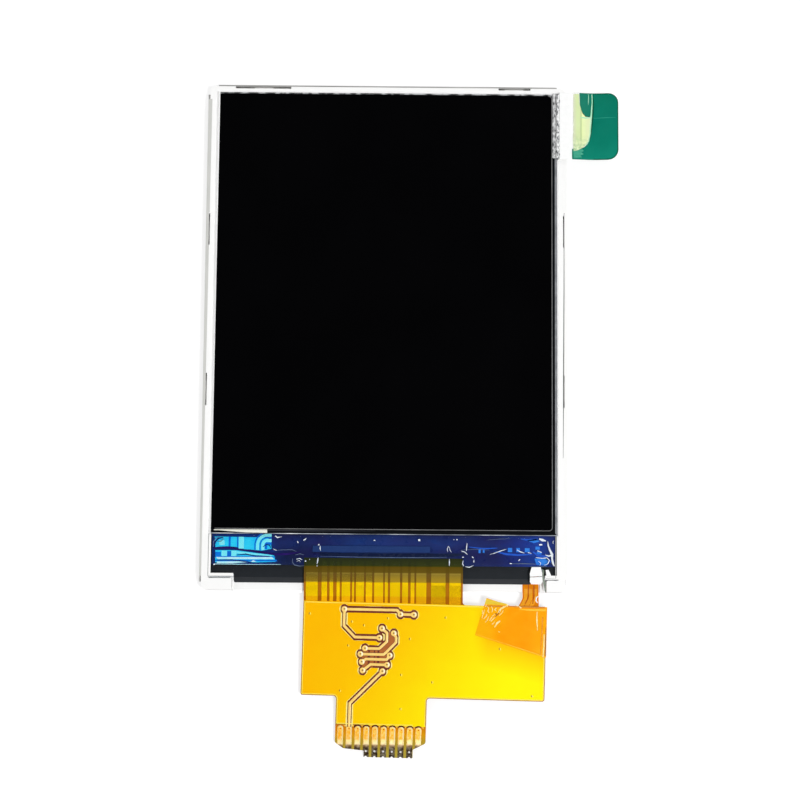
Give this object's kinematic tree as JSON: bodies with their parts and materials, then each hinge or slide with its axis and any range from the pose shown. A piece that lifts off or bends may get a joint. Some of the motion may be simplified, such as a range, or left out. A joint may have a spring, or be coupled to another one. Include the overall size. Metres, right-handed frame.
{
  "type": "tft display module",
  "caption": "Small colour liquid crystal display module: framed backlit glass cell with a solder-tail flex circuit, a soldered backlight tail and a pull tab.",
  "frame": {"origin": "centre of the rear face of the steel back plate", "axes": "+Z out of the screen, +Y from the flex end to the top edge of the screen, +X to the right seen from the front"},
  "size_m": [0.0488, 0.0791, 0.0023],
  "materials": {
    "steel": "bare stamped stainless sheet, satin",
    "white_plastic": "moulded white polycarbonate, satin",
    "reflector": "white reflector film",
    "acrylic": "clear moulded light guide",
    "lamp": "white lamp housing with a yellow phosphor window",
    "backlight_flex": "amber polyimide film",
    "copper": "copper seen through amber film",
    "solder": "bright solder",
    "optical_film": "thin optical film, satin",
    "black_tape": "black shading tape, satin",
    "polariser": "black polariser film, smooth",
    "cell_glass": "display glass over dark layers, polished",
    "protective_film": "clear protective film over black, smooth",
    "clear_tape": "clear tape with a pale yellow adhesive",
    "green_tab": "smooth green film",
    "chip": "polished bare silicon",
    "sealant": "glossy blue silicone sealant",
    "flex_film": "amber polyimide film",
    "contact_gold": "gold plated copper",
    "cover_film": "amber cover film over copper, smooth",
    "capacitor_ceramic": "brown chip capacitor body with tinned ends",
    "amber_tape": "amber polyimide tape, glossy and slightly creased"
  },
  "bodies": {
    "root": {"back_plate": "steel", "mould_frame": "white_plastic", "reflector_film": "reflector", "light_guide": "acrylic", "led_1": "lamp", "led_2": "lamp", "led_3": "lamp", "led_4": "lamp", "backlight_flex": "backlight_flex", "backlight_tracks": "copper", "solder_joints": "solder", "diffuser_film": "optical_film", "lower_prism_film": "optical_film", "upper_prism_film": "optical_film", "rim_tape": "black_tape", "rear_polariser": "polariser", "array_glass": "cell_glass", "colour_filter_glass": "cell_glass", "front_polariser": "polariser", "protective_film": "protective_film", "tab_tape": "clear_tape", "pull_tab": "green_tab", "driver_chip": "chip", "ledge_sealant": "sealant", "flex_base": "flex_film", "flex_rear_film": "flex_film", "neck_conductors": "copper", "ground_plane": "copper", "signal_traces": "copper", "contact_pads": "contact_gold", "neck_cover_film": "cover_film", "body_cover_film": "cover_film", "capacitors": "capacitor_ceramic", "amber_tape": "amber_tape"}
  },
  "joints": []
}
